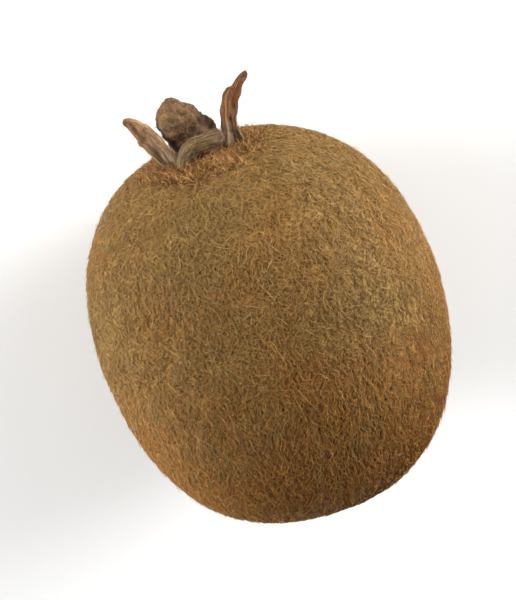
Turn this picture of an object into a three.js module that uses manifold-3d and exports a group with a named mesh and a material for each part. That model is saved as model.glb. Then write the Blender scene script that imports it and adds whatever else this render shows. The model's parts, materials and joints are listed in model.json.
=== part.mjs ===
// A kiwi fruit as picked, lying on its side on the small flat spot that its weight has pressed.
// The fruit is one solid. The dried stem stub, the dried sepals round it and the withered style
// tuft at the far end are separate pieces. +Z is up, the stem end faces -Y, and the origin is under
// the middle of the whole fruit, on the surface that it rests on. Lengths are millimetres.
import * as THREE from "three";
import { mergeVertices } from "three/addons/utils/BufferGeometryUtils.js";
import Module from "manifold-3d";

const wasm = await Module();
wasm.setup();

// The fruit: a blunt ellipsoid, slightly wider than thick, with a rounded-square section.
const LENGTH = 65.6;
const WIDTH = 55.7;
const THICKNESS = 52;
const SQUARENESS = 2.43; // 2 is a plain ellipse, more is squarer
const SECTION_TURN = 0.18; // radians that the square section is turned round the long axis
const STEM_FULLNESS = 0.028; // how much fuller the stem half is than the blossom half
const END_FULLNESS = 0.165; // how blunt both ends are
const BOW = 0.92; // sideways bow of the long axis
const LEAN = 0.96; // sideways shift of each end, the stem end towards +X

// Dimples that the stem and the styles sit in.
const STEM_DIMPLE = { depth: 1.5, radius: 7.5 };
const STYLE_DIMPLE = { depth: 0.8, radius: 3.2 };

const REST_DEPTH = 0.6; // how far the flat spot cuts into the round underside
const PIECE_GAP = 0.3; // clearance between pieces that touch

// Where the long axis leaves the stem end, and the height of that end's skin there.
const STEM_AXIS_X = BOW / 2 + LEAN;
const STEM_TOP_Y = -LENGTH / 2;

// Dried pieces.
const SEPAL_HALF_THICKNESS = 0.42;
const SEPAL_CUP = 0.35; // how far a sepal's edges curl towards its inner face
const STUB_HALF_WIDTH = 4;
const TUFT_HALF_WIDTH = 2.3;

const skinMaterial = new THREE.MeshStandardMaterial({
  color: 0x86683c,
  roughness: 0.85,
  metalness: 0,
});
const stubMaterial = new THREE.MeshStandardMaterial({
  color: 0x6a5237,
  roughness: 0.9,
  metalness: 0,
});
const sepalMaterial = new THREE.MeshStandardMaterial({
  color: 0x7d6446,
  roughness: 0.85,
  metalness: 0,
});
const tuftMaterial = new THREE.MeshStandardMaterial({
  color: 0x2e2018,
  roughness: 0.95,
  metalness: 0,
});

// Joins a geometry's shared corners and makes it a solid for cutting.
function toSolid(geometry) {
  const bare = new THREE.BufferGeometry();
  bare.setIndex(geometry.index);
  bare.setAttribute("position", geometry.getAttribute("position"));
  const merged = mergeVertices(bare, 1e-4);
  return new wasm.Manifold(
    new wasm.Mesh({
      numProp: 3,
      vertProperties: merged.getAttribute("position").array,
      triVerts: new Uint32Array(merged.index.array),
    }),
  );
}

// Turns a cut solid back into a geometry.
function toGeometry(solid) {
  const cut = solid.getMesh();
  const geometry = new THREE.BufferGeometry();
  geometry.setAttribute("position", new THREE.BufferAttribute(cut.vertProperties, 3));
  geometry.setIndex(new THREE.BufferAttribute(cut.triVerts, 1));
  geometry.computeVertexNormals();
  return geometry;
}

function dimple(shape, distance) {
  return shape.depth * Math.exp(-((distance / shape.radius) ** 2));
}

// A point of the skin. polar is the angle from the stem end and turn the angle round the long axis.
function skinPoint(polar, turn) {
  const along = Math.cos(polar);
  const spread =
    Math.sin(polar) * (1 + STEM_FULLNESS * along + END_FULLNESS * along * along);
  const corner = turn + SECTION_TURN;
  const squared =
    Math.abs(Math.cos(corner)) ** SQUARENESS + Math.abs(Math.sin(corner)) ** SQUARENESS;
  const reach = spread * squared ** (-1 / SQUARENESS);
  const fromAxis = (reach * WIDTH) / 2;
  const sunk = along > 0 ? dimple(STEM_DIMPLE, fromAxis) : -dimple(STYLE_DIMPLE, fromAxis);
  return new THREE.Vector3(
    fromAxis * Math.cos(turn) + BOW * (along * along - 0.5) + LEAN * along,
    (-along * LENGTH) / 2 + sunk,
    (reach * THICKNESS * Math.sin(turn)) / 2,
  );
}

// The whole skin as a closed geometry: a sphere whose corners move to the skin.
function skinGeometry() {
  const around = 72;
  const rings = 40;
  const geometry = new THREE.SphereGeometry(1, around, rings);
  const position = geometry.getAttribute("position");
  for (let i = 0; i < position.count; i += 1) {
    const polar = Math.acos(THREE.MathUtils.clamp(-position.getY(i), -1, 1));
    const turn = Math.atan2(position.getZ(i), position.getX(i));
    const point = skinPoint(polar, turn);
    position.setXYZ(i, point.x, point.y, point.z);
  }
  return geometry;
}

// The skin moved outwards by the gap, which cuts the roots of the dried pieces to fit the fruit.
function clearanceGeometry() {
  const geometry = skinGeometry();
  const bare = new THREE.BufferGeometry();
  bare.setIndex(geometry.index);
  bare.setAttribute("position", geometry.getAttribute("position"));
  const merged = mergeVertices(bare, 1e-4);
  merged.computeVertexNormals();
  const position = merged.getAttribute("position");
  const normal = merged.getAttribute("normal");
  for (let i = 0; i < position.count; i += 1) {
    position.setXYZ(
      i,
      position.getX(i) + normal.getX(i) * PIECE_GAP,
      position.getY(i) + normal.getY(i) * PIECE_GAP,
      position.getZ(i) + normal.getZ(i) * PIECE_GAP,
    );
  }
  return merged;
}

// Reads a list of [share of the length, value] pairs, with a smooth step from pair to pair.
function valueAt(pairs, share) {
  for (let i = 1; i < pairs.length; i += 1) {
    const [before, from] = pairs[i - 1];
    const [after, to] = pairs[i];
    if (share <= after) {
      return from + (to - from) * THREE.MathUtils.smoothstep(share, before, after);
    }
  }
  return pairs[pairs.length - 1][1];
}

// A closed blade or stump along a spine: a sphere whose south pole is the root and north pole the
// tip. shape gives the half-width and half-thickness at each share of the length.
function stalkGeometry(spine, facing, shape, around, rings) {
  const curve = new THREE.CatmullRomCurve3(spine);
  const geometry = new THREE.SphereGeometry(1, around, rings);
  const position = geometry.getAttribute("position");
  const towards = new THREE.Vector3();
  for (let i = 0; i < position.count; i += 1) {
    const share = Math.acos(THREE.MathUtils.clamp(-position.getY(i), -1, 1)) / Math.PI;
    const turn = Math.atan2(position.getZ(i), position.getX(i));
    const centre = curve.getPoint(share);
    const tangent = curve.getTangent(share);
    const side = new THREE.Vector3().crossVectors(tangent, facing).normalize();
    towards.crossVectors(side, tangent);
    const { halfWidth, halfThickness, cup } = shape(share, turn);
    const rounding = Math.min(1, 4 * Math.sqrt(share * (1 - share)));
    const across = halfWidth * rounding * Math.cos(turn);
    const out = halfThickness * rounding * Math.sin(turn) - cup * Math.cos(turn) ** 2;
    centre.addScaledVector(side, across).addScaledVector(towards, out);
    position.setXYZ(i, centre.x, centre.y, centre.z);
  }
  return geometry;
}

function sepalGeometry(sepal) {
  const shape = (share) => ({
    halfWidth: valueAt(sepal.halfWidths, share),
    halfThickness: SEPAL_HALF_THICKNESS,
    cup: SEPAL_CUP * (1 - share),
  });
  return stalkGeometry(sepal.spine, sepal.facing, shape, 14, 14);
}

const fruitSkin = toSolid(skinGeometry());
const clearance = toSolid(clearanceGeometry());

const kiwi = new THREE.Group();

function addPiece(name, geometry, material) {
  const piece = new THREE.Mesh(geometry, material);
  piece.name = name;
  kiwi.add(piece);
}

// Cuts a dried piece's root to the fruit, so that it meets the skin with the gap all round.
function addDriedPiece(name, geometry, material) {
  addPiece(name, toGeometry(toSolid(geometry).subtract(clearance)), material);
}

// The fruit, cut flat underneath where it rests.
const roundBox = new THREE.Box3().setFromBufferAttribute(
  skinGeometry().getAttribute("position"),
);
const restZ = roundBox.min.z + REST_DEPTH;
const below = new THREE.BoxGeometry(WIDTH, LENGTH, 10);
below.translate(0, 0, restZ - 5);
addPiece("fruit", toGeometry(fruitSkin.subtract(toSolid(below))), skinMaterial);

// The stem stub: a shrivelled, knobbly stump that leans over towards +X.
const stubSpine = [
  new THREE.Vector3(STEM_AXIS_X - 0.7, STEM_TOP_Y + 3, -0.2),
  new THREE.Vector3(STEM_AXIS_X - 0.2, STEM_TOP_Y - 1, 0),
  new THREE.Vector3(STEM_AXIS_X + 1.1, STEM_TOP_Y - 4.6, 0.2),
  new THREE.Vector3(STEM_AXIS_X + 1.7, STEM_TOP_Y - 7.6, 0.2),
  new THREE.Vector3(STEM_AXIS_X + 1.6, STEM_TOP_Y - 9.8, 0),
];
function stubShape(share, turn) {
  const taper = valueAt([[0, 1.05], [0.35, 1.05], [0.62, 0.86], [0.82, 0.7], [1, 0.3]], share);
  const knobs = 1 + 0.05 * Math.cos(3 * turn + 7 * share) + 0.04 * Math.sin(5 * turn - 9 * share);
  const radius = STUB_HALF_WIDTH * taper * knobs;
  return { halfWidth: radius, halfThickness: radius * 0.84, cup: 0 };
}
addDriedPiece(
  "stem_stub",
  stalkGeometry(stubSpine, new THREE.Vector3(0, 0, 1), stubShape, 28, 20),
  stubMaterial,
);

// The sepals, each from its root on the ring round the stub to its tip.
const sepals = {
  sepal_left: {
    spine: [
      new THREE.Vector3(5.8, STEM_TOP_Y + 2.8, 1.7),
      new THREE.Vector3(7.0, STEM_TOP_Y - 1.0, 2.1),
      new THREE.Vector3(8.6, STEM_TOP_Y - 5.6, 1.7),
      new THREE.Vector3(11.9, STEM_TOP_Y - 9.2, 1.0),
    ],
    facing: new THREE.Vector3(0.35, 0, 1),
    halfWidths: [[0, 1.1], [0.25, 1.2], [0.55, 1.65], [0.85, 1.0], [1, 0.3]],
  },
  sepal_right: {
    spine: [
      new THREE.Vector3(-3.8, STEM_TOP_Y + 2.8, 1.6),
      new THREE.Vector3(-4.6, STEM_TOP_Y - 1.0, 2.0),
      new THREE.Vector3(-5.6, STEM_TOP_Y - 5.0, 1.9),
      new THREE.Vector3(-7.7, STEM_TOP_Y - 8.4, 1.4),
      new THREE.Vector3(-10.4, STEM_TOP_Y - 10.1, 0.8),
    ],
    facing: new THREE.Vector3(-0.25, 0, 1),
    halfWidths: [[0, 1.2], [0.22, 1.0], [0.5, 1.45], [0.72, 1.3], [0.82, 0.85], [1, 0.25]],
  },
  sepal_front: {
    spine: [
      new THREE.Vector3(4.7, STEM_TOP_Y + 2.8, 4.2),
      new THREE.Vector3(4.6, STEM_TOP_Y + 0.1, 4.9),
      new THREE.Vector3(2.8, STEM_TOP_Y - 1.9, 5.1),
      new THREE.Vector3(-0.2, STEM_TOP_Y - 2.1, 5.0),
      new THREE.Vector3(-2.7, STEM_TOP_Y - 1.9, 4.3),
    ],
    facing: new THREE.Vector3(0, -0.25, 1),
    halfWidths: [[0, 1.0], [0.35, 1.35], [0.6, 1.6], [0.85, 1.3], [1, 0.3]],
  },
  sepal_back_left: {
    spine: [
      new THREE.Vector3(4.4, STEM_TOP_Y + 2.6, -4.0),
      new THREE.Vector3(4.6, STEM_TOP_Y - 0.6, -4.9),
      new THREE.Vector3(4.2, STEM_TOP_Y - 3.2, -5.4),
      new THREE.Vector3(3.0, STEM_TOP_Y - 5.2, -5.2),
    ],
    facing: new THREE.Vector3(0.3, 0, -1),
    halfWidths: [[0, 1.1], [0.3, 1.2], [0.6, 1.35], [0.85, 0.9], [1, 0.3]],
  },
  sepal_back_right: {
    spine: [
      new THREE.Vector3(-3.5, STEM_TOP_Y + 2.8, -3.2),
      new THREE.Vector3(-4.3, STEM_TOP_Y - 0.4, -4.2),
      new THREE.Vector3(-4.9, STEM_TOP_Y - 2.6, -5.2),
      new THREE.Vector3(-5.6, STEM_TOP_Y - 4.2, -6.6),
    ],
    facing: new THREE.Vector3(-0.4, -0.6, -1),
    halfWidths: [[0, 1.0], [0.35, 1.1], [0.65, 1.15], [0.88, 0.8], [1, 0.3]],
  },
};
for (const [name, sepal] of Object.entries(sepals)) {
  addDriedPiece(name, sepalGeometry(sepal), sepalMaterial);
}

// The style tuft: a low crown of withered flower parts in the dimple at the blossom end.
const tuftX = BOW / 2 - LEAN;
const tuftY = LENGTH / 2;
const tuftSpine = [
  new THREE.Vector3(tuftX, tuftY - 2.6, 0),
  new THREE.Vector3(tuftX, tuftY - 0.6, 0),
  new THREE.Vector3(tuftX, tuftY + 1.3, 0.1),
];
function tuftShape(share, turn) {
  const taper = valueAt([[0, 0.9], [0.6, 0.95], [0.85, 0.8], [1, 0.4]], share);
  const radius = TUFT_HALF_WIDTH * taper * (1 + 0.1 * Math.cos(7 * turn));
  return { halfWidth: radius, halfThickness: radius, cup: 0 };
}
addDriedPiece(
  "style_tuft",
  stalkGeometry(tuftSpine, new THREE.Vector3(0, 0, 1), tuftShape, 28, 12),
  tuftMaterial,
);

// The fruit stands on z = 0, with the origin under the middle of its box.
const box = new THREE.Box3().setFromObject(kiwi);
const middle = box.getCenter(new THREE.Vector3());
kiwi.position.set(-middle.x, -middle.y, -restZ);

export default kiwi;
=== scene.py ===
import json
import math

import bpy
import numpy as np
from mathutils import Matrix, Vector, noise

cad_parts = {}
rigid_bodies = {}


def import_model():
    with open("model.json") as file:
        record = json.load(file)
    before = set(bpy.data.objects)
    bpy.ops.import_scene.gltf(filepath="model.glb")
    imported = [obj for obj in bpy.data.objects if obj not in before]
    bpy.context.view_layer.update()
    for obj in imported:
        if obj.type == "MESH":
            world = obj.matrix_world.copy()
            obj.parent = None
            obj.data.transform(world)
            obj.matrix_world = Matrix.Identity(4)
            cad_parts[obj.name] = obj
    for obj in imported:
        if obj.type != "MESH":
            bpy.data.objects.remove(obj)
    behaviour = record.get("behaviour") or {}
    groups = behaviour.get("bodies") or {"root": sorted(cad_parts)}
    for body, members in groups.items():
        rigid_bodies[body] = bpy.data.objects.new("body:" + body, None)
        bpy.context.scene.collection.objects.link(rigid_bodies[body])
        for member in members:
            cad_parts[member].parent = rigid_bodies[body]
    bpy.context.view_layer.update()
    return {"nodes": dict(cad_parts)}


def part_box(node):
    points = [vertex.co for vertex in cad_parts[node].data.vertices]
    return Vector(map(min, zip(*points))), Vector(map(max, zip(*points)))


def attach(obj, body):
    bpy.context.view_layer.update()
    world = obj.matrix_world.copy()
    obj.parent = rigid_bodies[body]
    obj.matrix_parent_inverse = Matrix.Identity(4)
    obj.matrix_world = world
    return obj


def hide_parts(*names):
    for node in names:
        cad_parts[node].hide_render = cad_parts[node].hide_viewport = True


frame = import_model()

# ---------------------------------------------------------------------------------------------
# The skin of the fruit: a thin, leathery, dull brown-green peel, grown in one piece over the
# flesh. It is pressed flat on the spot where the fruit lies.
# ---------------------------------------------------------------------------------------------

mm = 0.001
skin_low, skin_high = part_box("fruit")
axis_height = 25.8
stem_end = Vector((1.84, -27.1, axis_height)) * mm
blossom_end = Vector((-0.1, 36.7, axis_height)) * mm


def select_only(piece):
    for other in bpy.context.selected_objects:
        other.select_set(False)
    piece.select_set(True)
    bpy.context.view_layer.objects.active = piece


def new_object(name, mesh):
    piece = bpy.data.objects.new(name, mesh)
    bpy.context.scene.collection.objects.link(piece)
    select_only(piece)
    return piece


def apply_modifier(piece, kind, **settings):
    select_only(piece)
    modifier = piece.modifiers.new(kind.lower(), kind)
    for setting, value in settings.items():
        setattr(modifier, setting, value)
    bpy.ops.object.modifier_apply(modifier=modifier.name)


def cloud_texture(name, size, depth=2):
    texture = bpy.data.textures.new(name, "CLOUDS")
    texture.noise_scale = size
    texture.noise_depth = depth
    return texture


# The plain solid's own surface, made of quads, smoothed and given lumps of three sizes.
skin = new_object("skin", frame["nodes"]["fruit"].data.copy())
quad_angle = math.radians(60)
bpy.ops.object.mode_set(mode="EDIT")
bpy.ops.mesh.select_all(action="SELECT")
bpy.ops.mesh.remove_doubles(threshold=0.002 * mm)
bpy.ops.mesh.tris_convert_to_quads(face_threshold=quad_angle, shape_threshold=quad_angle)
bpy.ops.object.mode_set(mode="OBJECT")
apply_modifier(skin, "SUBSURF", levels=2, render_levels=2)
for lump_size, lump_height in ((9, 0.22), (2.6, 0.08), (1.1, 0.06)):
    relief = cloud_texture("skin_relief", lump_size * mm)
    apply_modifier(skin, "DISPLACE", texture=relief, strength=lump_height * mm, mid_level=0.5)
bpy.ops.object.shade_smooth()


# How each spot of the skin is grown: read by the fuzz as well as by the skin's own colour.
#   coat  how dense the fuzz is            collar  how close the spot is to the sepals
#   comb  how well the fuzz lies lengthways  blush   olive (0) to reddish (1) ground colour
def blotches(point, size, seed):
    return noise.fractal(point / size + Vector((seed, 0, 0)), 1.0, 2.0, 3)


def keep_attributes(mesh, values):
    for name, numbers in values.items():
        attribute = mesh.attributes.new(name, "FLOAT", "POINT")
        attribute.data.foreach_set("value", np.array(numbers, np.float32))


# Patches of another tint: middle, reach, and how much redder (+) or greener (-) they are.
tinted_patches = [
    (Vector((4, -12, 48)) * mm, 3 * mm, 0.5),
    (Vector((-16, -10, 42)) * mm, 7 * mm, 0.15),
    (Vector((-15, 0, 45)) * mm, 6 * mm, -0.55),
    (Vector((5, -20, 41)) * mm, 5 * mm, -0.4),
    (Vector((13, -22, 35)) * mm, 5 * mm, -0.3),
]
stem_cap = 12 * mm
pressed_height = 0.35 * mm
# How far from the middle of a dimple, in mm, the skin is bare or grows the collar. The collar
# fades out over the last stretch of its radius.
bare_under_stub = 4.2
bare_under_tuft = 3.2
collar_radius = 11.2
collar_fade = 3.5
# The share of the way to the blossom end where the fuzz starts to lie straight, and to redden.
combed_from = 0.4
blushed_from = 0.38
growth = {"coat": [], "collar": [], "comb": [], "blush": []}
for vertex in skin.data.vertices:
    point = vertex.co
    from_stem = math.hypot(point.x - stem_end.x, point.z - stem_end.z) / mm
    at_stem = point.y < stem_end.y + stem_cap
    from_blossom = (blossom_end - point).length / mm
    bare = (at_stem and from_stem < bare_under_stub) or from_blossom < bare_under_tuft
    lying_on = point.z < pressed_height
    ring = collar_radius + 2.2 * blotches(point, 3 * mm, 5)
    near_sepals = min(1, max(0, (ring - from_stem) / collar_fade)) if at_stem else 0
    growth["collar"].append(near_sepals)
    thick = 1 + 0.3 * blotches(point, 7 * mm, 3) - 0.7 * near_sepals
    growth["coat"].append(0 if bare or lying_on else thick)
    toward_blossom = (point.y - skin_low.y) / (skin_high.y - skin_low.y)
    growth["comb"].append(0.2 + 5 * max(0, toward_blossom - combed_from))
    blush = 0.28 + 1.6 * max(0, toward_blossom - blushed_from) + 0.3 * blotches(point, 11 * mm, 11)
    for middle, reach, amount in tinted_patches:
        blush += amount * math.exp(-((point - middle).length / reach) ** 2)
    growth["blush"].append(min(1, max(0, blush)))
keep_attributes(skin.data, growth)


def node_tree(material):
    material.use_nodes = True
    nodes = material.node_tree.nodes
    nodes.clear()
    output = nodes.new("ShaderNodeOutputMaterial")
    shader = nodes.new("ShaderNodeBsdfPrincipled")
    material.node_tree.links.new(shader.outputs["BSDF"], output.inputs["Surface"])
    return nodes, material.node_tree.links, shader


def colour_ramp(nodes, stops):
    ramp = nodes.new("ShaderNodeValToRGB")
    elements = ramp.color_ramp.elements
    while len(elements) > 1:
        elements.remove(elements[-1])
    elements[0].position, elements[0].color = stops[0][0], (*stops[0][1], 1)
    for position, colour in stops[1:]:
        elements.new(position).color = (*colour, 1)
    return ramp


def noise_node(nodes, links, coordinates, scale, detail, roughness):
    texture = nodes.new("ShaderNodeTexNoise")
    texture.inputs["Scale"].default_value = scale
    texture.inputs["Detail"].default_value = detail
    texture.inputs["Roughness"].default_value = roughness
    links.new(coordinates, texture.inputs["Vector"])
    return texture


def mix_colours(nodes, links, factor, first, second, blend="MIX"):
    mix = nodes.new("ShaderNodeMix")
    mix.data_type = "RGBA"
    mix.blend_type = blend
    for value, socket in ((factor, 0), (first, 6), (second, 7)):
        if hasattr(value, "links"):
            links.new(value, mix.inputs[socket])
        else:
            mix.inputs[socket].default_value = value
    return mix.outputs[2]


def skin_material():
    material = bpy.data.materials.new("kiwi_skin")
    nodes, links, shader = node_tree(material)
    place = nodes.new("ShaderNodeTexCoord").outputs["Object"]
    blush = nodes.new("ShaderNodeAttribute")
    blush.attribute_name = "blush"
    collar = nodes.new("ShaderNodeAttribute")
    collar.attribute_name = "collar"
    ground = colour_ramp(
        nodes,
        [
            (0.1, (0.150, 0.090, 0.024)),
            (0.45, (0.165, 0.088, 0.023)),
            (0.70, (0.172, 0.080, 0.023)),
            (0.95, (0.165, 0.072, 0.022)),
        ],
    )
    links.new(blush.outputs["Fac"], ground.inputs["Fac"])
    grain = noise_node(nodes, links, place, 1900, 4, 0.65)
    speckle = colour_ramp(nodes, [(0.35, (0.5, 0.48, 0.45)), (0.65, (1.5, 1.45, 1.35))])
    links.new(grain.outputs["Fac"], speckle.inputs["Fac"])
    speckled = mix_colours(nodes, links, 1.0, ground.outputs["Color"], speckle.outputs["Color"], "MULTIPLY")
    rust = (0.100, 0.036, 0.009, 1)
    tinted = mix_colours(nodes, links, collar.outputs["Fac"], speckled, rust)
    links.new(tinted, shader.inputs["Base Color"])
    shader.inputs["Roughness"].default_value = 0.8
    shader.inputs["Specular IOR Level"].default_value = 0.15
    pores = noise_node(nodes, links, place, 2600, 3, 0.6)
    bump = nodes.new("ShaderNodeBump")
    bump.inputs["Strength"].default_value = 0.5
    bump.inputs["Distance"].default_value = 0.08 * mm
    links.new(pores.outputs["Fac"], bump.inputs["Height"])
    links.new(bump.outputs["Normal"], shader.inputs["Normal"])
    return material


skin.data.materials.clear()
skin.data.materials.append(skin_material())
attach(skin, "root")
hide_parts("fruit")

# ---------------------------------------------------------------------------------------------
# The fuzz: short, stiff, golden-brown hairs that grow all over the skin. They are tangled and
# rubbed flat over most of the fruit, and lie lengthways towards the blossom end.
# ---------------------------------------------------------------------------------------------


# One hair, about 1 mm long, that grows along X: a three-sided root drawn out through the joints,
# which are given as (place in mm, how thick the hair stays).
def model_hair(name, radius, joints):
    bpy.ops.object.select_all(action="DESELECT")
    bpy.ops.mesh.primitive_circle_add(
        vertices=3, radius=radius, fill_type="NGON", rotation=(0, math.pi / 2, 0)
    )
    hair = bpy.context.active_object
    hair.name = name
    bpy.ops.object.transform_apply(location=True, rotation=True, scale=True)
    bpy.ops.object.mode_set(mode="EDIT")
    bpy.ops.mesh.select_all(action="SELECT")
    before = Vector((0, 0, 0))
    for joint, thickness in joints:
        step = Vector(joint) * mm - before
        before = Vector(joint) * mm
        bpy.ops.mesh.extrude_region()
        bpy.ops.transform.translate(value=step)
        bpy.ops.transform.resize(value=(1, thickness, thickness), center_override=before)
    bpy.ops.mesh.merge(type="CENTER")
    bpy.ops.mesh.select_all(action="SELECT")
    bpy.ops.mesh.normals_make_consistent(inside=False)
    bpy.ops.object.mode_set(mode="OBJECT")
    bpy.ops.object.shade_smooth()
    for layer in list(hair.data.uv_layers):
        hair.data.uv_layers.remove(layer)
    along = hair.data.uv_layers.new(name="OFBake")
    for loop in hair.data.loops:
        share = hair.data.vertices[loop.vertex_index].co.x / mm
        along.data[loop.index].uv = (0.5, min(1, max(0, share)))
    return hair


hair_radius = 0.03 * mm
hair_bends = {
    "arched": [((0.3, 0.05, 0.10), 0.9), ((0.66, 0.16, 0.13), 0.8), ((1, 0.34, 0.07), 0.4)],
    "hooked": [((0.32, -0.02, 0.12), 0.9), ((0.66, -0.16, 0.17), 0.8), ((0.86, -0.42, 0.12), 0.4)],
    "waved": [((0.3, 0.10, 0.08), 0.9), ((0.66, -0.02, 0.12), 0.8), ((1, -0.12, 0.16), 0.4)],
    "straight": [((0.34, 0.02, 0.09), 0.9), ((0.68, 0.0, 0.15), 0.8), ((1.05, 0.06, 0.18), 0.4)],
    "rolled": [((0.3, 0.12, 0.12), 0.9), ((0.52, 0.36, 0.16), 0.8), ((0.6, 0.66, 0.10), 0.4)],
    "kinked": [((0.3, -0.10, 0.07), 0.9), ((0.6, 0.08, 0.16), 0.8), ((1, -0.06, 0.10), 0.4)],
}
hair_shapes = bpy.data.collections.new("hair_shapes")
bpy.context.scene.collection.children.link(hair_shapes)
for bend, joints in hair_bends.items():
    hair = model_hair("hair_" + bend, hair_radius, joints)
    for home in list(hair.users_collection):
        home.objects.unlink(hair)
    hair_shapes.objects.link(hair)


# The growing of a coat of hairs, as geometry nodes. only names the attribute that says where.
def growing_nodes(name, density, seed, length, lift, thickness, tangle, tone, only="coat"):
    tree = bpy.data.node_groups.new(name, "GeometryNodeTree")
    tree.interface.new_socket("Geometry", in_out="INPUT", socket_type="NodeSocketGeometry")
    tree.interface.new_socket("Geometry", in_out="OUTPUT", socket_type="NodeSocketGeometry")
    nodes, links = tree.nodes, tree.links

    def add(kind, **settings):
        node = nodes.new(kind)
        for setting, value in settings.items():
            setattr(node, setting, value)
        return node

    def plug(value, socket):
        if hasattr(value, "links"):
            links.new(value, socket)
        else:
            socket.default_value = value

    def maths(operation, first, second):
        node = add("ShaderNodeMath", operation=operation)
        plug(first, node.inputs[0])
        plug(second, node.inputs[1])
        return node.outputs[0]

    def vectors(operation, first, second):
        node = add("ShaderNodeVectorMath", operation=operation)
        plug(first, node.inputs[0])
        plug(second, node.inputs["Scale" if operation == "SCALE" else 1])
        return node.outputs[0]

    def grown(attribute):
        node = add("GeometryNodeInputNamedAttribute", data_type="FLOAT")
        node.inputs["Name"].default_value = attribute
        return node.outputs["Attribute"]

    def random(low, high, number, kind="FLOAT"):
        node = add("FunctionNodeRandomValue", data_type=kind)
        pair = {"FLOAT": (2, 3), "INT": (4, 5), "FLOAT_VECTOR": (0, 1)}[kind]
        node.inputs[pair[0]].default_value = low
        node.inputs[pair[1]].default_value = high
        node.inputs["Seed"].default_value = seed * 100 + number
        return node.outputs[{"FLOAT": 1, "INT": 2, "FLOAT_VECTOR": 0}[kind]]

    ends = add("NodeGroupInput"), add("NodeGroupOutput")
    scatter = add("GeometryNodeDistributePointsOnFaces", distribute_method="RANDOM")
    links.new(ends[0].outputs[0], scatter.inputs["Mesh"])
    plug(maths("MULTIPLY", grown(only), density), scatter.inputs["Density"])
    scatter.inputs["Seed"].default_value = seed

    # Each hair lies in the skin's plane. comb turns it towards the blossom end, tangle away from it.
    swirl = add("ShaderNodeTexNoise", noise_dimensions="3D")
    swirl.inputs["Scale"].default_value = 260
    swirl.inputs["Detail"].default_value = 1
    links.new(add("GeometryNodeInputPosition").outputs[0], swirl.inputs["Vector"])
    eddy = vectors("SCALE", vectors("SUBTRACT", swirl.outputs["Color"], (0.5, 0.5, 0.5)), 2.2)
    lengthways = add("ShaderNodeCombineXYZ")
    plug(maths("MULTIPLY", grown("comb"), 0.2), lengthways.inputs["X"])
    links.new(grown("comb"), lengthways.inputs["Y"])
    stray = vectors("SCALE", random((-1, -1, -1), (1, 1, 1), 1, "FLOAT_VECTOR"), tangle)
    heading = vectors("ADD", vectors("ADD", lengthways.outputs[0], stray), eddy)
    upright = add("FunctionNodeAlignRotationToVector", axis="Z")
    links.new(scatter.outputs["Normal"], upright.inputs["Vector"])
    turned = add("FunctionNodeAlignRotationToVector", axis="X", pivot_axis="Z")
    links.new(upright.outputs[0], turned.inputs["Rotation"])
    links.new(heading, turned.inputs["Vector"])
    tilt = add("ShaderNodeCombineXYZ")
    links.new(random(-math.radians(lift[1]), -math.radians(lift[0]), 2), tilt.inputs["Y"])
    raised = add("FunctionNodeRotateRotation", rotation_space="LOCAL")
    links.new(turned.outputs[0], raised.inputs["Rotation"])
    links.new(tilt.outputs[0], raised.inputs["Rotate By"])

    size = add("ShaderNodeCombineXYZ")
    long = random(length[0], length[1], 3)
    wide = random(thickness[0], thickness[1], 4)
    links.new(long, size.inputs["X"])
    links.new(wide, size.inputs["Y"])
    links.new(wide, size.inputs["Z"])

    shapes = add("GeometryNodeCollectionInfo", transform_space="ORIGINAL")
    shapes.inputs["Collection"].default_value = hair_shapes
    shapes.inputs["Separate Children"].default_value = True
    shapes.inputs["Reset Children"].default_value = True
    plant = add("GeometryNodeInstanceOnPoints")
    links.new(scatter.outputs["Points"], plant.inputs["Points"])
    links.new(shapes.outputs[0], plant.inputs["Instance"])
    plant.inputs["Pick Instance"].default_value = True
    plug(random(0, len(hair_bends) - 1, 5, "INT"), plant.inputs["Instance Index"])
    links.new(raised.outputs[0], plant.inputs["Rotation"])
    links.new(size.outputs[0], plant.inputs["Scale"])

    # tone is the hair's own shade, kept in U: the tan hairs use 0 to 0.5, the rusty ones 0.5 to 1.
    reddish = maths("LESS_THAN", random(0.1, 1.1, 7), grown("blush"))
    shade = maths("ADD", random(tone[0] / 2, tone[1] / 2, 6), maths("MULTIPLY", reddish, 0.5))
    keep = add("GeometryNodeStoreNamedAttribute", data_type="FLOAT", domain="INSTANCE")
    keep.inputs["Name"].default_value = "tone"
    links.new(plant.outputs[0], keep.inputs["Geometry"])
    plug(shade, keep.inputs["Value"])
    real = add("GeometryNodeRealizeInstances")
    links.new(keep.outputs[0], real.inputs[0])
    along = add("GeometryNodeInputNamedAttribute", data_type="FLOAT_VECTOR")
    along.inputs["Name"].default_value = "OFBake"
    parts = add("ShaderNodeSeparateXYZ")
    links.new(along.outputs["Attribute"], parts.inputs[0])
    both = add("ShaderNodeCombineXYZ")
    links.new(grown("tone"), both.inputs["X"])
    links.new(parts.outputs["Y"], both.inputs["Y"])
    store = add("GeometryNodeStoreNamedAttribute", data_type="FLOAT2", domain="CORNER")
    store.inputs["Name"].default_value = "OFBake"
    links.new(real.outputs[0], store.inputs["Geometry"])
    links.new(both.outputs[0], store.inputs["Value"])
    links.new(store.outputs[0], ends[1].inputs[0])
    return tree


def grow_coat(name, source, material, slot, **habit):
    coat = new_object(name, source.data.copy())
    coat.data.materials.clear()
    modifier = coat.modifiers.new("growing", "NODES")
    modifier.node_group = growing_nodes(name, **habit)
    bpy.ops.object.modifier_apply(modifier=modifier.name)
    coat.data.materials.clear()
    coat.data.materials.append(material)
    for attribute in [a.name for a in coat.data.attributes]:
        if attribute in ("tone", "coat", "collar", "comb", "blush", "along", "across"):
            coat.data.attributes.remove(coat.data.attributes[attribute])
    floor_limit = 0.02 * mm
    for vertex in coat.data.vertices:
        vertex.co.z = max(vertex.co.z, floor_limit)
    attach(coat, "root")


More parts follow.
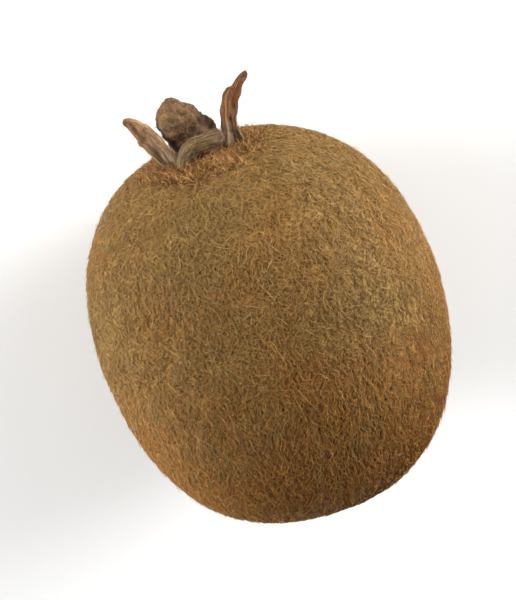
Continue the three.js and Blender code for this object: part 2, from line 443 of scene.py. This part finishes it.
def hair_material(name, shades):
    material = bpy.data.materials.new(name)
    nodes, links, shader = node_tree(material)
    spot = nodes.new("ShaderNodeUVMap")
    spot.uv_map = "OFBake"
    parts = nodes.new("ShaderNodeSeparateXYZ")
    links.new(spot.outputs["UV"], parts.inputs[0])
    shade = colour_ramp(nodes, shades)
    links.new(parts.outputs["X"], shade.inputs["Fac"])
    rooted = colour_ramp(nodes, [(0.0, (0.88, 0.86, 0.84)), (0.35, (1, 1, 1)), (1.0, (1.06, 1.08, 1.1))])
    links.new(parts.outputs["Y"], rooted.inputs["Fac"])
    colour = mix_colours(nodes, links, 1.0, shade.outputs["Color"], rooted.outputs["Color"], "MULTIPLY")
    links.new(colour, shader.inputs["Base Color"])
    shader.inputs["Roughness"].default_value = 0.55
    shader.inputs["Specular IOR Level"].default_value = 0.2
    return material


fuzz_shades = [
    (0.0, (0.120, 0.060, 0.016)),
    (0.2, (0.200, 0.114, 0.032)),
    (0.4, (0.285, 0.170, 0.056)),
    (0.49, (0.400, 0.248, 0.105)),
    (0.51, (0.138, 0.054, 0.008)),
    (0.7, (0.242, 0.104, 0.018)),
    (0.9, (0.335, 0.156, 0.030)),
    (1.0, (0.420, 0.220, 0.062)),
]
fuzz_material = hair_material("kiwi_fuzz", fuzz_shades)
for number in (1, 2, 3):
    grow_coat(
        f"undercoat_{number}",
        skin,
        fuzz_material,
        "skin",
        density=1.05e6,
        seed=number,
        length=(0.9, 1.7),
        lift=(-4, 4),
        thickness=(1.5, 2.5),
        tangle=1.2,
        tone=(0.3, 0.55),
    )
for number in (4, 5, 6, 7):
    grow_coat(
        f"coat_{number}",
        skin,
        fuzz_material,
        "skin",
        density=1.05e6,
        seed=number,
        length=(1.5, 2.8),
        lift=(-1, 6),
        thickness=(0.8, 1.4),
        tangle=0.9,
        tone=(0.3, 0.66),
    )
grow_coat(
    "long_hairs",
    skin,
    fuzz_material,
    "skin",
    density=0.7e6,
    seed=8,
    length=(2.2, 3.8),
    lift=(2, 10),
    thickness=(0.9, 1.5),
    tangle=0.8,
    tone=(0.4, 0.95),
)

# ---------------------------------------------------------------------------------------------
# The collar: shorter, denser, rust-red hairs that bristle in a ring round the sepals, where
# nothing rubs them off.
# ---------------------------------------------------------------------------------------------

collar_material = hair_material(
    "kiwi_collar_hair",
    [
        (0.0, (0.045, 0.018, 0.005)),
        (0.25, (0.220, 0.095, 0.021)),
        (0.49, (0.470, 0.265, 0.090)),
        (0.51, (0.050, 0.016, 0.004)),
        (0.75, (0.280, 0.098, 0.015)),
        (1.0, (0.480, 0.230, 0.062)),
    ],
)
grow_coat(
    "collar_hair",
    skin,
    collar_material,
    "skin",
    density=17e6,
    seed=9,
    length=(1.0, 2.3),
    lift=(15, 60),
    thickness=(1.0, 1.9),
    tangle=1.0,
    tone=(0.0, 1.0),
    only="collar",
)


# ---------------------------------------------------------------------------------------------
# The sepals: five dried, leathery blades, felted with fine hairs and veined lengthways. Two stand
# up, one has folded over and rolled up along the foot of the stub, and two are behind it.
# ---------------------------------------------------------------------------------------------

stem_top = Vector((0.42, -28.4, axis_height)) * mm


# A smooth curve through points, at share 0 to 1 of the way.
def on_curve(points, share):
    place = min(share, 0.9999) * (len(points) - 1)
    i = int(place)
    t = place - i
    before, start = points[max(i - 1, 0)], points[i]
    end, after = points[i + 1], points[min(i + 2, len(points) - 1)]
    return (
        start * 2
        + (end - before) * t
        + (before * 2 - start * 5 + end * 4 - after) * t**2
        + (start * 3 - before - end * 3 + after) * t**3
    ) / 2


def spine_frame(points, share, facing):
    ahead = on_curve(points, min(share + 0.02, 1)) - on_curve(points, max(share - 0.02, 0))
    ahead.normalize()
    front = (facing - ahead * facing.dot(ahead)).normalized()
    return on_curve(points, share), ahead, front, ahead.cross(front)


def dry_surface(piece, relief_size, relief_height, material, node):
    relief = cloud_texture(piece.name + "_relief", relief_size, 3)
    apply_modifier(piece, "DISPLACE", texture=relief, strength=relief_height, mid_level=0.5)
    select_only(piece)
    bpy.ops.object.shade_smooth()
    piece.data.materials.clear()
    piece.data.materials.append(material)
    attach(piece, "root")
    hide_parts(node)


# Shades run from the dark hollows to the rubbed light fibres. upper tints the part that reach
# fades in, tip the very end and rim_shade the edges. grain is how fine the fibres are along and
# across the piece.
def dried_material(name, shades, upper, reach, tip, rim_shade, grain=(5, 8)):
    material = bpy.data.materials.new(name)
    nodes, links, shader = node_tree(material)
    place = nodes.new("ShaderNodeTexCoord").outputs["Object"]
    along = nodes.new("ShaderNodeAttribute")
    along.attribute_name = "along"
    across = nodes.new("ShaderNodeAttribute")
    across.attribute_name = "across"
    sheet = nodes.new("ShaderNodeCombineXYZ")
    links.new(along.outputs["Fac"], sheet.inputs["X"])
    links.new(across.outputs["Fac"], sheet.inputs["Y"])
    stretch = nodes.new("ShaderNodeVectorMath")
    stretch.operation = "MULTIPLY"
    stretch.inputs[1].default_value = (*grain, 1)
    links.new(sheet.outputs[0], stretch.inputs[0])
    fibres = noise_node(nodes, links, stretch.outputs[0], 1.0, 5, 0.7)
    shade = colour_ramp(nodes, shades)
    links.new(fibres.outputs["Fac"], shade.inputs["Fac"])
    band = colour_ramp(nodes, [(reach[0], (0, 0, 0)), (reach[1], (1, 1, 1))])
    blotch = noise_node(nodes, links, place, 700, 3, 0.6)
    uneven = nodes.new("ShaderNodeMath")
    uneven.operation = "MULTIPLY_ADD"
    uneven.inputs[1].default_value = 0.9
    links.new(blotch.outputs["Fac"], uneven.inputs[0])
    links.new(along.outputs["Fac"], uneven.inputs[2])
    links.new(uneven.outputs[0], band.inputs["Fac"])
    toned = mix_colours(nodes, links, 1.0, shade.outputs["Color"], (*upper, 1), "MULTIPLY")
    outer = mix_colours(nodes, links, band.outputs["Color"], shade.outputs["Color"], toned)
    end = colour_ramp(nodes, [(0.86, (1, 1, 1)), (0.97, tip)])
    links.new(along.outputs["Fac"], end.inputs["Fac"])
    tipped = mix_colours(nodes, links, 1.0, outer, end.outputs["Color"], "MULTIPLY")
    rim = colour_ramp(nodes, [(0.80, (1, 1, 1)), (0.97, (rim_shade, rim_shade, rim_shade))])
    outwards = nodes.new("ShaderNodeMath")
    outwards.operation = "ABSOLUTE"
    links.new(across.outputs["Fac"], outwards.inputs[0])
    links.new(outwards.outputs[0], rim.inputs["Fac"])
    rimmed = mix_colours(nodes, links, 1.0, tipped, rim.outputs["Color"], "MULTIPLY")
    links.new(rimmed, shader.inputs["Base Color"])
    shader.inputs["Roughness"].default_value = 0.75
    shader.inputs["Specular IOR Level"].default_value = 0.2
    bump = nodes.new("ShaderNodeBump")
    bump.inputs["Strength"].default_value = 0.8
    bump.inputs["Distance"].default_value = 0.15 * mm
    links.new(fibres.outputs["Fac"], bump.inputs["Height"])
    links.new(bump.outputs["Normal"], shader.inputs["Normal"])
    return material


# The two edges are given as (share of the length, half width in mm); curl is how far the blade
# rolls up across its width, in radians, at the root and at the tip.
def grow_sepal(node, spine, facing, edges, curl, thickness, seed, material):
    rows, columns = 56, 15
    raggedness, wrinkle_height, vein_height = 0.16, 0.22 * mm, 0.045 * mm
    bpy.ops.object.select_all(action="DESELECT")
    bpy.ops.mesh.primitive_grid_add(x_subdivisions=rows, y_subdivisions=columns, size=2)
    piece = bpy.context.active_object
    piece.name = "dried_" + node
    points = [stem_top + Vector(point) * mm for point in spine]
    facing = Vector(facing).normalized()
    grown = {"along": [], "across": [], "coat": [], "comb": [], "blush": []}
    for vertex in piece.data.vertices:
        share, side = (vertex.co.x + 1) / 2, vertex.co.y
        place, ahead, front, sideways = spine_frame(points, share, facing)
        shares, widths = zip(*edges[0 if side < 0 else 1])
        ragged = 1 + raggedness * noise.noise(Vector((share * 9, seed * 3 + (side > 0), 0)))
        half = np.interp(share, shares, widths) * ragged * mm
        half *= math.sqrt(max(0.02, 1 - max(0, (share - 0.9) / 0.1) ** 2))
        bend = curl[0] + (curl[1] - curl[0]) * share
        radius = half / (bend / 2)
        turn = side * bend / 2
        wrinkle = wrinkle_height * noise.noise(Vector((share * 7, side * 1.6, seed * 5)))
        vein = vein_height * math.cos(side * 11 + seed)
        vertex.co = (
            place
            + sideways * radius * math.sin(turn)
            + front * (radius * (1 - math.cos(turn)) - half * 0.25 * bend / 2 + wrinkle + vein)
        )
        grown["along"].append(share)
        grown["across"].append(side)
        grown["coat"].append(0 if share < 0.12 else 1)
        grown["comb"].append(-0.7)
        grown["blush"].append(0.5)
    keep_attributes(piece.data, grown)
    apply_modifier(piece, "SOLIDIFY", thickness=thickness * mm, offset=0)
    apply_modifier(piece, "SUBSURF", levels=1, render_levels=1)
    dry_surface(piece, 0.8 * mm, 0.14 * mm, material, node)
    grow_coat(
        node + "_felt",
        piece,
        felt_material,
        "dry_sepal",
        density=10e6,
        seed=seed + 20,
        length=(0.25, 0.6),
        lift=(0, 30),
        thickness=(0.5, 0.9),
        tangle=0.9,
        tone=(0.0, 1.0),
    )


felt_material = hair_material(
    "kiwi_sepal_felt",
    [
        (0.0, (0.075, 0.046, 0.022)),
        (0.25, (0.150, 0.100, 0.052)),
        (0.49, (0.250, 0.188, 0.115)),
        (0.51, (0.080, 0.043, 0.020)),
        (1.0, (0.215, 0.142, 0.080)),
    ],
)
grey_brown = [
    (0.30, (0.062, 0.036, 0.018)),
    (0.45, (0.130, 0.082, 0.044)),
    (0.58, (0.210, 0.142, 0.080)),
    (0.72, (0.320, 0.240, 0.150)),
]
mauve_brown = dried_material(
    "sepal_mauve_brown",
    grey_brown,
    upper=(1.30, 1.06, 0.94),
    reach=(0.7, 1.0),
    tip=(0.45, 0.38, 0.34),
    rim_shade=1.3,
)
red_brown = dried_material(
    "sepal_red_brown",
    grey_brown,
    upper=(0.95, 0.56, 0.34),
    reach=(0.72, 0.95),
    tip=(0.6, 0.45, 0.4),
    rim_shade=0.6,
)
golden_brown = [
    (0.34, (0.022, 0.012, 0.005)),
    (0.46, (0.070, 0.043, 0.018)),
    (0.56, (0.135, 0.090, 0.039)),
    (0.68, (0.290, 0.205, 0.100)),
]
tan_brown = dried_material(
    "sepal_tan_brown",
    golden_brown,
    upper=(0.95, 0.85, 0.75),
    reach=(0.9, 1.0),
    tip=(0.6, 0.5, 0.45),
    rim_shade=1.6,
)

grow_sepal(
    "sepal_left",
    spine=[(5.8, 2.8, 1.7), (6.9, -1.0, 2.1), (8.2, -5.0, 1.8), (9.6, -7.3, 1.4), (11.3, -8.6, 1.0)],
    facing=(0.35, 0, 1),
    edges=(
        [(0, 1.1), (0.2, 1.4), (0.5, 2.3), (0.75, 1.5), (0.92, 0.8), (1, 0.6)],
        [(0, 1.1), (0.2, 1.5), (0.4, 1.6), (0.6, 1.3), (0.8, 1.1), (0.92, 0.7), (1, 0.5)],
    ),
    curl=(1.6, 0.6),
    thickness=0.55,
    seed=1,
    material=mauve_brown,
)
grow_sepal(
    "sepal_right",
    spine=[(-4.0, 2.8, 1.6), (-4.6, -1.0, 2.0), (-5.5, -5.0, 1.9), (-7.5, -8.0, 1.4), (-9.9, -9.6, 0.8)],
    facing=(-0.25, 0, 1),
    edges=(
        [(0, 1.9), (0.2, 1.6), (0.32, 1.2), (0.48, 1.55), (0.64, 1.7), (0.71, 1.5), (0.73, 0.75), (1, 0.4)],
        [(0, 2.0), (0.2, 1.7), (0.32, 0.9), (0.40, 0.95), (0.44, 1.25), (0.6, 1.35), (0.85, 0.9), (1, 0.35)],
    ),
    curl=(1.7, 1.2),
    thickness=0.55,
    seed=2,
    material=red_brown,
)
grow_sepal(
    "sepal_front",
    spine=[(4.7, 2.8, 4.2), (4.6, 0.1, 4.9), (2.8, -1.9, 5.1), (-0.2, -2.1, 5.0), (-2.7, -1.9, 4.3)],
    facing=(0, -0.25, 1),
    edges=(
        [(0, 0.9), (0.25, 1.2), (0.5, 1.7), (0.85, 1.7), (1, 1.5)],
        [(0, 0.9), (0.25, 1.2), (0.5, 1.6), (0.85, 1.7), (1, 1.5)],
    ),
    curl=(-3.9, -2.8),
    thickness=0.6,
    seed=3,
    material=tan_brown,
)
grow_sepal(
    "sepal_back_left",
    spine=[(4.4, 2.6, -4.0), (4.6, -0.6, -4.9), (4.2, -3.2, -5.4), (3.0, -5.2, -5.2)],
    facing=(0.3, 0, -1),
    edges=(
        [(0, 1.2), (0.3, 1.3), (0.6, 1.5), (0.85, 1.0), (1, 0.4)],
        [(0, 1.2), (0.3, 1.3), (0.65, 1.4), (0.9, 0.9), (1, 0.4)],
    ),
    curl=(1.5, 1.9),
    thickness=0.55,
    seed=4,
    material=mauve_brown,
)
grow_sepal(
    "sepal_back_right",
    spine=[(-3.5, 2.8, -3.2), (-4.3, -0.4, -4.2), (-4.9, -2.6, -5.2), (-5.6, -4.2, -6.6)],
    facing=(-0.4, -0.6, -1),
    edges=(
        [(0, 1.1), (0.35, 1.2), (0.65, 1.3), (0.88, 0.85), (1, 0.4)],
        [(0, 1.1), (0.35, 1.2), (0.6, 1.0), (0.7, 1.2), (0.9, 0.8), (1, 0.4)],
    ),
    curl=(1.4, 1.2),
    thickness=0.55,
    seed=5,
    material=red_brown,
)

# ---------------------------------------------------------------------------------------------
# The stub: the shrunken, fibrous end of the stem. It leans over, is ringed by an old wrinkle under
# its knob, and its broken top is rounded.
# ---------------------------------------------------------------------------------------------


# Knobs (+) and hollows (-) of the stub: share of the height, side (x, z), reach, height in mm.
stub_lumps = [
    (0.82, (-0.9, 0.3), 0.5, -0.9),
    (0.52, (-0.9, 0.3), 0.5, -0.5),
    (0.22, (-0.9, 0.3), 0.5, -0.2),
    (0.74, (0.9, 0.4), 0.5, 0.7),
    (0.76, (-0.1, 1.0), 0.12, -0.6),
    (0.42, (0.1, 1.0), 0.5, -1.2),
    (0.34, (0.9, 0.3), 0.5, -0.5),
    (0.40, (0.0, -1.0), 0.6, 0.4),
]
stub_spine = [(0.72, 3, -0.2), (1.22, -1, 0), (2.4, -4.4, 0.2), (3.1, -7.2, 0.2), (3.3, -9.7, 0)]
stub_heights = (0, 0.35, 0.6, 0.72, 0.82, 0.92, 1)
stub_radii = (4.2, 4.1, 3.6, 3.1, 2.35, 1.45, 0.9)
stub_flattening = Vector((1, 1, 0.84))
bpy.ops.object.select_all(action="DESELECT")
bpy.ops.mesh.primitive_ico_sphere_add(subdivisions=7, radius=1)
stub = bpy.context.active_object
stub.name = "dried_stub"
stub_points = [stem_top + Vector(point) * mm for point in stub_spine]
stub_growth = {"along": [], "across": [], "coat": [], "comb": [], "blush": []}
for vertex in stub.data.vertices:
    height = math.acos(max(-1, min(1, -vertex.co.z))) / math.pi
    around = math.atan2(vertex.co.y, vertex.co.x)
    place, ahead, front, sideways = spine_frame(stub_points, height, Vector((0, 0, 1)))
    taper = np.interp(height, stub_heights, stub_radii)
    taper *= math.sqrt(max(0, 1 - max(0, (height - 0.88) / 0.12) ** 2))
    taper *= math.sqrt(max(0, 1 - max(0, (0.08 - height) / 0.08) ** 2))
    side = sideways * -math.cos(around) + front * math.sin(around)
    for level, (to_x, to_z), reach, lump in stub_lumps:
        toward = Vector((to_x, 0, to_z)).normalized()
        nearness = (1 - side.dot(toward)) / reach + ((height - level) / 0.12) ** 2
        taper += lump * math.exp(-nearness)
    folds = noise.noise(Vector((math.cos(around) * 2.2, math.sin(around) * 2.2, height * 1.5)))
    rings = noise.noise(Vector((height * 16, math.cos(around), math.sin(around))))
    taper *= 1 + 0.14 * folds + 0.06 * rings
    flattened = Vector(side[i] * stub_flattening[i] for i in range(3))
    vertex.co = place + flattened * taper * mm
    stub_growth["along"].append(height)
    stub_growth["across"].append(math.cos(around) + 0.6 * math.sin(around * 2))
    stub_growth["coat"].append(0 if height < 0.3 else 1)
    stub_growth["comb"].append(-0.7)
    stub_growth["blush"].append(0.55)
keep_attributes(stub.data, stub_growth)
select_only(stub)
bpy.ops.object.mode_set(mode="EDIT")
bpy.ops.mesh.select_all(action="SELECT")
bpy.ops.mesh.normals_make_consistent(inside=False)
bpy.ops.object.mode_set(mode="OBJECT")
stub_brown = [
    (0.28, (0.022, 0.010, 0.005)),
    (0.46, (0.052, 0.024, 0.010)),
    (0.60, (0.090, 0.049, 0.021)),
    (0.76, (0.150, 0.096, 0.046)),
]
# The stub keeps the dark shades low down, and upper lightens the part past reach. This is partly the stub's
# own red-brown, partly painted shade on its lower, shaded side and painted light on its top.
stub_material = dried_material(
    "stub_brown",
    stub_brown,
    upper=(1.5, 1.55, 1.4),
    reach=(0.95, 1.0),
    tip=(0.9, 0.85, 0.8),
    rim_shade=1.0,
    grain=(16, 1.4),
)
stub_folds = cloud_texture("stub_folds", 1.4 * mm, 1)
apply_modifier(stub, "DISPLACE", texture=stub_folds, strength=0.5 * mm, mid_level=0.5)
dry_surface(stub, 0.5 * mm, 0.22 * mm, stub_material, "stem_stub")
grow_coat(
    "stem_stub_felt",
    stub,
    felt_material,
    "dry_stem",
    density=5e6,
    seed=31,
    length=(0.3, 0.7),
    lift=(0, 20),
    thickness=(0.6, 1.0),
    tangle=0.6,
    tone=(0.0, 0.8),
)

# Nothing grows hairs after the stub, so their patterns go.
for hair in list(hair_shapes.objects):
    bpy.data.objects.remove(hair)
bpy.data.collections.remove(hair_shapes)

# ---------------------------------------------------------------------------------------------
# The tuft: the flower's withered styles, two dozen brittle threads that curl up on a dark scab in
# the dimple of the blossom end.
# ---------------------------------------------------------------------------------------------

tuft_middle = Vector((-0.08, 36.9, axis_height)) * mm
random_tuft = np.random.default_rng(8)


def grow_style(angle, out, height, radius):
    bpy.ops.object.select_all(action="DESELECT")
    bpy.ops.mesh.primitive_cone_add(
        vertices=8, radius1=radius * mm, radius2=radius * 0.45 * mm, depth=2, end_fill_type="NGON"
    )
    style = bpy.context.active_object
    bpy.ops.object.mode_set(mode="EDIT")
    bpy.ops.mesh.select_all(action="SELECT")
    bpy.ops.mesh.subdivide(number_cuts=5)
    bpy.ops.object.mode_set(mode="OBJECT")
    outward = Vector((math.cos(angle), 0, math.sin(angle)))
    crossing = Vector((-math.sin(angle), 0, math.cos(angle)))
    wind = random_tuft.uniform(-0.9, 0.9)
    curl_back = random_tuft.uniform(0.3, 0.9)
    for vertex in style.data.vertices:
        up = (vertex.co.z + 1) / 2
        ring = outward * vertex.co.x + crossing * vertex.co.y
        bow = outward * (0.3 + out * math.sin(up * 1.9)) + crossing * wind * up * up
        rise = Vector((0, -1.2 + height * math.sin(up * (1.2 + curl_back)), 0))
        vertex.co = tuft_middle + ring + (bow + rise) * mm
    return style


bpy.ops.object.select_all(action="DESELECT")
bpy.ops.mesh.primitive_ico_sphere_add(subdivisions=5, radius=1)
tuft = bpy.context.active_object
tuft.name = "withered_styles"
for vertex in tuft.data.vertices:
    swell = 1 + 0.22 * noise.fractal(vertex.co * 2.1, 1.0, 2.0, 3)
    round_nub = Vector((vertex.co.x * 2.5, vertex.co.z * 2.0 - 0.9, vertex.co.y * 2.3))
    vertex.co = tuft_middle + round_nub * mm * swell
styles = []
for number in range(24):
    angle = number * 2.4 + random_tuft.uniform(-0.2, 0.2)
    out = random_tuft.uniform(0.4, 1.7)
    styles.append(grow_style(angle, out, random_tuft.uniform(2.2, 3.4), random_tuft.uniform(0.24, 0.40)))
select_only(tuft)
for style in styles:
    style.select_set(True)
bpy.ops.object.join()
bpy.ops.object.mode_set(mode="EDIT")
bpy.ops.mesh.select_all(action="SELECT")
bpy.ops.mesh.normals_make_consistent(inside=False)
bpy.ops.object.mode_set(mode="OBJECT")
tuft_growth = {"along": [], "across": []}
for vertex in tuft.data.vertices:
    from_middle = vertex.co - tuft_middle
    tuft_growth["along"].append(min(1, max(0, 0.4 + from_middle.y / (5 * mm))))
    tuft_growth["across"].append(math.atan2(from_middle.z, from_middle.x))
keep_attributes(tuft.data, tuft_growth)
tuft_brown = [
    (0.30, (0.026, 0.015, 0.008)),
    (0.50, (0.075, 0.044, 0.022)),
    (0.70, (0.170, 0.110, 0.058)),
]
tuft_material = dried_material(
    "styles_dark",
    tuft_brown,
    upper=(1.3, 1.2, 1.1),
    reach=(0.9, 1.0),
    tip=(1, 1, 1),
    rim_shade=1,
)
dry_surface(tuft, 0.5 * mm, 0.12 * mm, tuft_material, "style_tuft")

# ---------------------------------------------------------------------------------------------
# The floor, the soft light and the camera: a plain pale table, two wide soft boxes low at the
# sides, and pale studio walls.
# ---------------------------------------------------------------------------------------------


def plain_material(name, colour, roughness):
    material = bpy.data.materials.new(name)
    nodes, links, shader = node_tree(material)
    shader.inputs["Base Color"].default_value = (*colour, 1)
    shader.inputs["Roughness"].default_value = roughness
    return material


bpy.ops.object.select_all(action="DESELECT")
bpy.ops.mesh.primitive_plane_add(size=1.4)
floor = bpy.context.active_object
floor.name = "floor"
floor.data.materials.append(plain_material("pale_floor", (0.74, 0.74, 0.73), 0.9))

fruit_middle = Vector((0, 4.5 * mm, 26 * mm))


def softbox(name, position, size, power):
    lamp = bpy.data.objects.new(name, bpy.data.lights.new(name, "AREA"))
    lamp.data.shape = "SQUARE"
    lamp.data.size = size
    lamp.data.energy = power
    lamp.location = position
    lamp.rotation_euler = (fruit_middle - lamp.location).to_track_quat("-Z", "Y").to_euler()
    bpy.context.scene.collection.objects.link(lamp)


softbox("left_light", position=Vector((0.74, -0.24, 0.19)), size=0.6, power=23)
softbox("right_light", position=Vector((-0.76, -0.20, 0.17)), size=0.6, power=29)

# The studio's walls are white at floor height and greyer towards the ceiling. They are a little
# brighter on the stem's side than on the far side.
world = bpy.data.worlds.new("studio")
world.use_nodes = True
sky_nodes, sky_links = world.node_tree.nodes, world.node_tree.links
direction = sky_nodes.new("ShaderNodeSeparateXYZ")
sky_links.new(sky_nodes.new("ShaderNodeTexCoord").outputs["Generated"], direction.inputs[0])
walls = colour_ramp(sky_nodes, [(0.0, (1, 1, 1)), (0.45, (0.34, 0.34, 0.34)), (1.0, (0.3, 0.3, 0.3))])
sky_links.new(direction.outputs["Z"], walls.inputs["Fac"])
strength = sky_nodes.new("ShaderNodeMath")
strength.operation = "MULTIPLY_ADD"
strength.inputs[1].default_value = -0.18
strength.inputs[2].default_value = 0.68
sky_links.new(direction.outputs["Y"], strength.inputs[0])
background = sky_nodes["Background"]
sky_links.new(walls.outputs["Color"], background.inputs["Color"])
sky_links.new(strength.outputs[0], background.inputs["Strength"])
bpy.context.scene.world = world
bpy.context.scene.view_settings.view_transform = "Standard"

# The camera looks down on the lying fruit from a little towards its stem end, and is rolled so
# that the stem end is at the upper left.
view_tilt = math.radians(20)
view_roll = math.radians(19.65)
view_distance = 0.60
towards_camera = Vector((0, -math.sin(view_tilt), math.cos(view_tilt)))
stem_up = Vector((0, -math.cos(view_tilt), -math.sin(view_tilt)))
across = stem_up.cross(towards_camera)
picture_up = stem_up * math.cos(view_roll) + across * math.sin(view_roll)
picture_right = picture_up.cross(towards_camera)
camera = bpy.data.objects.new("camera", bpy.data.cameras.new("camera"))
camera.data.lens = 220
aim = Vector((0.001, -0.0005, 0.026))
camera.location = aim + towards_camera * view_distance
camera_axes = Matrix([picture_right, picture_up, towards_camera])
camera.rotation_euler = camera_axes.transposed().to_euler()
bpy.context.scene.collection.objects.link(camera)
bpy.context.scene.camera = camera
